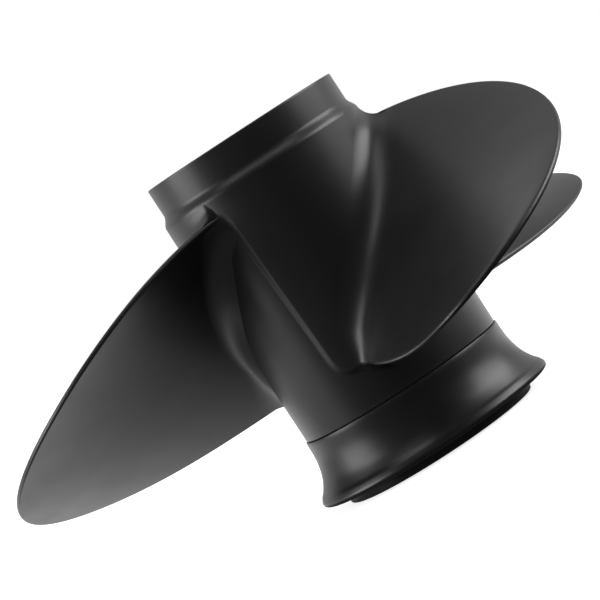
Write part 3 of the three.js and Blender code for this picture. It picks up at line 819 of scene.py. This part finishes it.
# ---- Materials ----
class Surface:
    """A material whose colour, roughness and bump come from procedural nodes."""

    def __init__(self, name, metallic):
        self.material = bpy.data.materials.new(name)
        self.material.use_nodes = True
        self.nodes = self.material.node_tree.nodes
        self.links = self.material.node_tree.links
        self.shader = self.nodes["Principled BSDF"]
        self.shader.inputs["Metallic"].default_value = metallic
        self.place = self.nodes.new("ShaderNodeTexCoord").outputs["Object"]

    def plug(self, value, socket):
        if isinstance(value, bpy.types.NodeSocket):
            self.links.new(value, socket)
        else:
            socket.default_value = value

    def noise(self, scale, detail=3.0, place=None):
        node = self.nodes.new("ShaderNodeTexNoise")
        node.inputs["Scale"].default_value = scale
        node.inputs["Detail"].default_value = detail
        self.links.new(place or self.place, node.inputs["Vector"])
        return node.outputs["Fac"]

    def maths(self, operation, first, second):
        node = self.nodes.new("ShaderNodeMath")
        node.operation = operation
        self.plug(first, node.inputs[0])
        self.plug(second, node.inputs[1])
        return node.outputs[0]

    def spread(self, value, low, high, to_low, to_high):
        """Map a value from one range to another, clamped."""
        node = self.nodes.new("ShaderNodeMapRange")
        for socket, number in zip(node.inputs, (value, low, high, to_low, to_high)):
            self.plug(number, socket)
        return node.outputs[0]

    def mix(self, share, first, second):
        """Blend two colours, each a socket or three numbers."""
        node = self.nodes.new("ShaderNodeMix")
        node.data_type = "RGBA"
        self.plug(share, node.inputs["Factor"])
        for colour, socket in ((first, node.inputs["A"]), (second, node.inputs["B"])):
            self.plug((*colour, 1) if isinstance(colour, tuple) else colour, socket)
        return node.outputs["Result"]

    def mix_shaders(self, share, first, second):
        node = self.nodes.new("ShaderNodeMixShader")
        for socket, value in zip(node.inputs, (share, first, second)):
            self.links.new(value, socket)
        return node.outputs[0]

    def attribute(self, name):
        node = self.nodes.new("ShaderNodeAttribute")
        node.attribute_name = name
        return node.outputs["Fac"]

    def turned_place(self):
        """A place that is the same all the way round the shaft, for marks left by turning."""
        split = self.nodes.new("ShaderNodeSeparateXYZ")
        self.links.new(self.place, split.inputs[0])
        flat = self.maths("POWER", split.outputs["X"], 2.0)
        deep = self.maths("POWER", split.outputs["Y"], 2.0)
        radius = self.maths("SQRT", self.maths("ADD", flat, deep), 0.0)
        join = self.nodes.new("ShaderNodeCombineXYZ")
        self.links.new(radius, join.inputs["X"])
        self.links.new(split.outputs["Z"], join.inputs["Z"])
        return join.outputs[0]

    def bump(self, height, distance, before=None):
        node = self.nodes.new("ShaderNodeBump")
        node.inputs["Distance"].default_value = distance
        self.links.new(height, node.inputs["Height"])
        if before is not None:
            self.links.new(before, node.inputs["Normal"])
        return node.outputs["Normal"]

    def finish(self, colour, roughness, normal):
        self.links.new(colour, self.shader.inputs["Base Color"])
        self.links.new(roughness, self.shader.inputs["Roughness"])
        self.links.new(normal, self.shader.inputs["Normal"])
        return self.material


def black_paint():
    """Satin black paint on a casting: faint orange peel, edges lightened as a painted highlight,
    dust in the corners.
    """
    surface = Surface("black_paint", 0.0)
    clouds = surface.noise(30.0)
    grain = surface.noise(1400.0, 2.0)
    colour = surface.mix(clouds, (0.0085, 0.0085, 0.0086), (0.0125, 0.0122, 0.0120))
    # painted highlight: convex edges are lightened towards pale grey, broken up by fine grain, and
    # made a little smoother
    highlight_breakup = surface.spread(grain, 0.35, 0.7, 0.1, 0.7)
    lighter_edges = surface.maths("MULTIPLY", surface.attribute("edge"), highlight_breakup)
    colour = surface.mix(lighter_edges, colour, (0.040, 0.039, 0.037))
    settled = surface.spread(clouds, 0.3, 0.7, 0.15, 0.6)
    dust = surface.maths("MULTIPLY", surface.attribute("hollow"), settled)
    colour = surface.mix(dust, colour, (0.022, 0.021, 0.020))
    patches = surface.spread(surface.noise(70.0), 0.3, 0.7, 0.33, 0.385)
    roughness = surface.maths("ADD", patches, surface.spread(grain, 0.2, 0.8, -0.015, 0.02))
    roughness = surface.maths("SUBTRACT", roughness, surface.maths("MULTIPLY", lighter_edges, 0.05))
    waves = surface.bump(surface.noise(85.0, 1.0), 0.00004)
    peel = surface.bump(surface.noise(900.0, 1.0), 0.000003, waves)
    return surface.finish(colour, roughness, peel)


def bushing_rubber():
    """Moulded rubber: nearly black, with a patchy grey bloom and paler edges."""
    surface = Surface("bushing_rubber", 0.0)
    patches = surface.noise(160.0, 4.0)
    bloom = surface.spread(patches, 0.35, 0.75, 0.0, 1.0)
    colour = surface.mix(bloom, (0.012, 0.012, 0.012), (0.030, 0.029, 0.028))
    worn = surface.maths("MULTIPLY", surface.attribute("edge"), 0.5)
    colour = surface.mix(worn, colour, (0.045, 0.044, 0.042))
    roughness = surface.spread(patches, 0.3, 0.7, 0.58, 0.78)
    return surface.finish(colour, roughness, surface.bump(surface.noise(2600.0), 0.00002))


def machined_metal(name, clean, dull, worn, smoothest):
    """Turned metal: fine rings from the tool, a patchy dull film and bright worn edges."""
    surface = Surface(name, 1.0)
    rings = surface.noise(4200.0, 2.0, surface.turned_place())
    film = surface.noise(120.0, 5.0)
    colour = surface.mix(surface.spread(film, 0.35, 0.72, 0.0, 0.9), clean, dull)
    lighter_edges = surface.maths("MULTIPLY", surface.attribute("edge"), 0.7)
    colour = surface.mix(lighter_edges, colour, worn)
    dirt = surface.maths("MULTIPLY", surface.attribute("hollow"), 0.6)
    colour = surface.mix(dirt, colour, dull)
    roughness = surface.spread(film, 0.3, 0.75, smoothest, smoothest + 0.16)
    roughness = surface.maths("ADD", roughness, surface.spread(rings, 0.25, 0.75, -0.05, 0.05))
    return surface.finish(colour, roughness, surface.bump(rings, 0.000012))


def bronze():
    clean, dull, worn = (0.58, 0.36, 0.15), (0.33, 0.19, 0.085), (0.78, 0.54, 0.28)
    return machined_metal("bronze", clean, dull, worn, 0.27)


def stainless_steel():
    clean, dull, worn = (0.56, 0.55, 0.53), (0.38, 0.37, 0.36), (0.72, 0.71, 0.69)
    return machined_metal("stainless_steel", clean, dull, worn, 0.24)


MATERIALS = {
    "black_paint": black_paint(),
    "bushing_rubber": bushing_rubber(),
    "bronze": bronze(),
    "stainless_steel": stainless_steel(),
}


# ---- Camera, light and floor, in metres ----
CAMERA_ELEVATION = math.radians(2.461)
CAMERA_ROLL = math.radians(-33.112)
CAMERA_DISTANCE = 0.9152
CAMERA_TARGET = Vector((-0.0117, 0, 0.05847))
CAMERA_LENS = 186.95          # in millimetres
CAMERA_SENSOR = 36            # width in millimetres


def build_camera():
    """The main view: nearly level, rolled so that the bow end leans left."""
    data = bpy.data.cameras.new("camera")
    data.sensor_width = CAMERA_SENSOR
    data.lens = CAMERA_LENS
    camera = bpy.data.objects.new("camera", data)
    bpy.context.scene.collection.objects.link(camera)
    back = Vector((0, -math.cos(CAMERA_ELEVATION), math.sin(CAMERA_ELEVATION)))
    right = Vector((1, 0, 0))
    up = back.cross(right)
    across = right * math.cos(CAMERA_ROLL) + up * math.sin(CAMERA_ROLL)
    upward = -right * math.sin(CAMERA_ROLL) + up * math.cos(CAMERA_ROLL)
    place = Matrix((across, upward, back)).transposed().to_4x4()
    place.translation = CAMERA_TARGET + back * CAMERA_DISTANCE
    camera.matrix_world = place
    bpy.context.scene.camera = camera


HUB_MIDDLE = Vector((0, 0, 0.06))


def add_softbox(name, place, width, height, power):
    """A rectangular light that faces the hub and that the camera doesn't see."""
    data = bpy.data.lights.new(name, "AREA")
    data.shape = "RECTANGLE"
    data.size, data.size_y = width, height
    data.energy = power
    light = bpy.data.objects.new(name, data)
    bpy.context.scene.collection.objects.link(light)
    light.location = place
    light.rotation_euler = (HUB_MIDDLE - Vector(place)).to_track_quat("-Z", "Y").to_euler()
    light.visible_camera = False


def build_lights():
    add_softbox("softbox_left", (-0.74, -0.08, 0.30), 0.45, 0.48, 3.6)
    add_softbox("softbox_right", (0.72, -0.03, 0.37), 0.62, 0.45, 4.9)
    add_softbox("softbox_top", (0, -0.2, 0.9), 1.0, 0.35, 2.0)


DIM_LIGHT = 0.10              # the world's light from in front
BACK_LIGHT = 0.75             # and from behind
LIGHT_RAMP = (0.0, 0.9)       # y of the directions between which it grows


def build_world():
    """White where the camera sees it; as light, bright behind the object and dim in front."""
    world = bpy.data.worlds.new("studio")
    bpy.context.scene.world = world
    world.use_nodes = True
    nodes, links = world.node_tree.nodes, world.node_tree.links
    nodes.clear()
    direction = nodes.new("ShaderNodeTexCoord")
    split = nodes.new("ShaderNodeSeparateXYZ")
    links.new(direction.outputs["Generated"], split.inputs[0])
    strength = nodes.new("ShaderNodeMapRange")
    strength.interpolation_type = "SMOOTHSTEP"
    for socket, number in zip(strength.inputs, (0.0, *LIGHT_RAMP, DIM_LIGHT, BACK_LIGHT)):
        socket.default_value = number
    links.new(split.outputs["Y"], strength.inputs[0])
    ambient = nodes.new("ShaderNodeBackground")
    links.new(strength.outputs[0], ambient.inputs["Strength"])
    seen = nodes.new("ShaderNodeBackground")
    path = nodes.new("ShaderNodeLightPath")
    mix = nodes.new("ShaderNodeMixShader")
    output = nodes.new("ShaderNodeOutputWorld")
    for background in (ambient, seen):
        background.inputs["Color"].default_value = (1, 1, 1, 1)
    links.new(path.outputs["Is Camera Ray"], mix.inputs[0])
    links.new(ambient.outputs[0], mix.inputs[1])
    links.new(seen.outputs[0], mix.inputs[2])
    links.new(mix.outputs[0], output.inputs[0])


FLOOR_RADIUS = 3.0
FLOOR_CORNERS = 64
NEAR_GLOW = 0.8               # how much the floor glows for the camera, near the object
FAR_GLOW = 1.1                # and far away, where it is as white as the world
FLOOR_BOUNCE = 1.4            # the light it gives the object from behind
FRONT_BOUNCE = 0.07           # from in front
SIDE_BOUNCE = 0.22            # and from the left
BACK_RAMP = (-0.008, 0.075)   # y between which the light from behind grows
SIDE_RAMP = (-0.10, -0.02)    # x between which the light from the left fades
UNDER_HUB = 0.3               # share of the floor's light that is left inside the barrel
HUB_EDGE = (0.0292, 0.0308)   # distances from the shaft between which it changes
GLOW_RAMP = (0.15, 0.9)       # distances between which the glow for the camera grows


def floor_mesh():
    mesh = bpy.data.meshes.new("floor")
    outline = [(FLOOR_RADIUS * math.cos(turn), FLOOR_RADIUS * math.sin(turn), 0)
               for turn in full_turn(FLOOR_CORNERS)]
    mesh.from_pydata(outline, [], [tuple(range(FLOOR_CORNERS))])
    return mesh


def floor_bounce(surface, beside_hub):
    """The floor's strength as a light: a ramp from front to back, and one out to the left."""
    split = surface.nodes.new("ShaderNodeSeparateXYZ")
    surface.links.new(surface.place, split.inputs[0])
    behind = surface.spread(split.outputs["Y"], *BACK_RAMP, FRONT_BOUNCE, FLOOR_BOUNCE)
    beside = surface.spread(split.outputs["X"], *SIDE_RAMP, SIDE_BOUNCE, 0.0)
    sweep = surface.maths("MAXIMUM", behind, beside)
    return surface.maths("MULTIPLY", sweep, surface.spread(beside_hub, 0.0, 1.0, UNDER_HUB, 1.0))


def floor_material():
    """Pale grey that glows for the camera, lights the object, and is clear from below."""
    surface = Surface("pale_floor", 0.0)
    shade = surface.noise(6.0)
    colour = surface.mix(shade, (0.78, 0.78, 0.78), (0.82, 0.82, 0.82))
    roughness = surface.spread(shade, 0, 1, 0.7, 0.8)
    length = surface.nodes.new("ShaderNodeVectorMath")
    length.operation = "LENGTH"
    surface.links.new(surface.place, length.inputs[0])
    distance = length.outputs["Value"]
    beside_hub = surface.spread(distance, *HUB_EDGE, 0.0, 1.0)
    glow = surface.spread(distance, *GLOW_RAMP, NEAR_GLOW, FAR_GLOW)
    glow = surface.maths("MULTIPLY", glow, beside_hub)
    surface.shader.inputs["Emission Color"].default_value = (1, 1, 1, 1)
    surface.links.new(glow, surface.shader.inputs["Emission Strength"])
    bounce = surface.nodes.new("ShaderNodeEmission")
    surface.links.new(floor_bounce(surface, beside_hub), bounce.inputs["Strength"])
    clear = surface.nodes.new("ShaderNodeBsdfTransparent")
    camera_ray = surface.nodes.new("ShaderNodeLightPath").outputs["Is Camera Ray"]
    backfacing = surface.nodes.new("ShaderNodeNewGeometry").outputs["Backfacing"]
    above = surface.mix_shaders(camera_ray, bounce.outputs[0], surface.shader.outputs[0])
    both = surface.mix_shaders(backfacing, above, clear.outputs[0])
    surface.links.new(both, surface.nodes["Material Output"].inputs["Surface"])
    return surface.finish(colour, roughness, surface.bump(shade, 0.00001))


def build_floor():
    """A plain pale floor that fades into the white background.

    As a light it is bright behind the object only, like the paper sweep of a studio. From below
    it is clear, so that the stern end can be looked at.
    """
    mesh = floor_mesh()
    mesh.materials.append(floor_material())
    floor = bpy.data.objects.new("floor", mesh)
    bpy.context.scene.collection.objects.link(floor)


# ---- The model ----
build_barrel()
for blade_number in range(1, BLADES + 1):
    build_blade(blade_number)
build_ring()
build_inner_hub()
for rib_number in range(1, BLADES + 1):
    build_rib(rib_number)
build_rubber()
build_sleeve()
build_thrust_washer()
build_spacer()
build_washer()
build_nut()
build_pin()
build_camera()
build_world()
build_lights()
build_floor()
bpy.context.scene.view_settings.view_transform = "Standard"
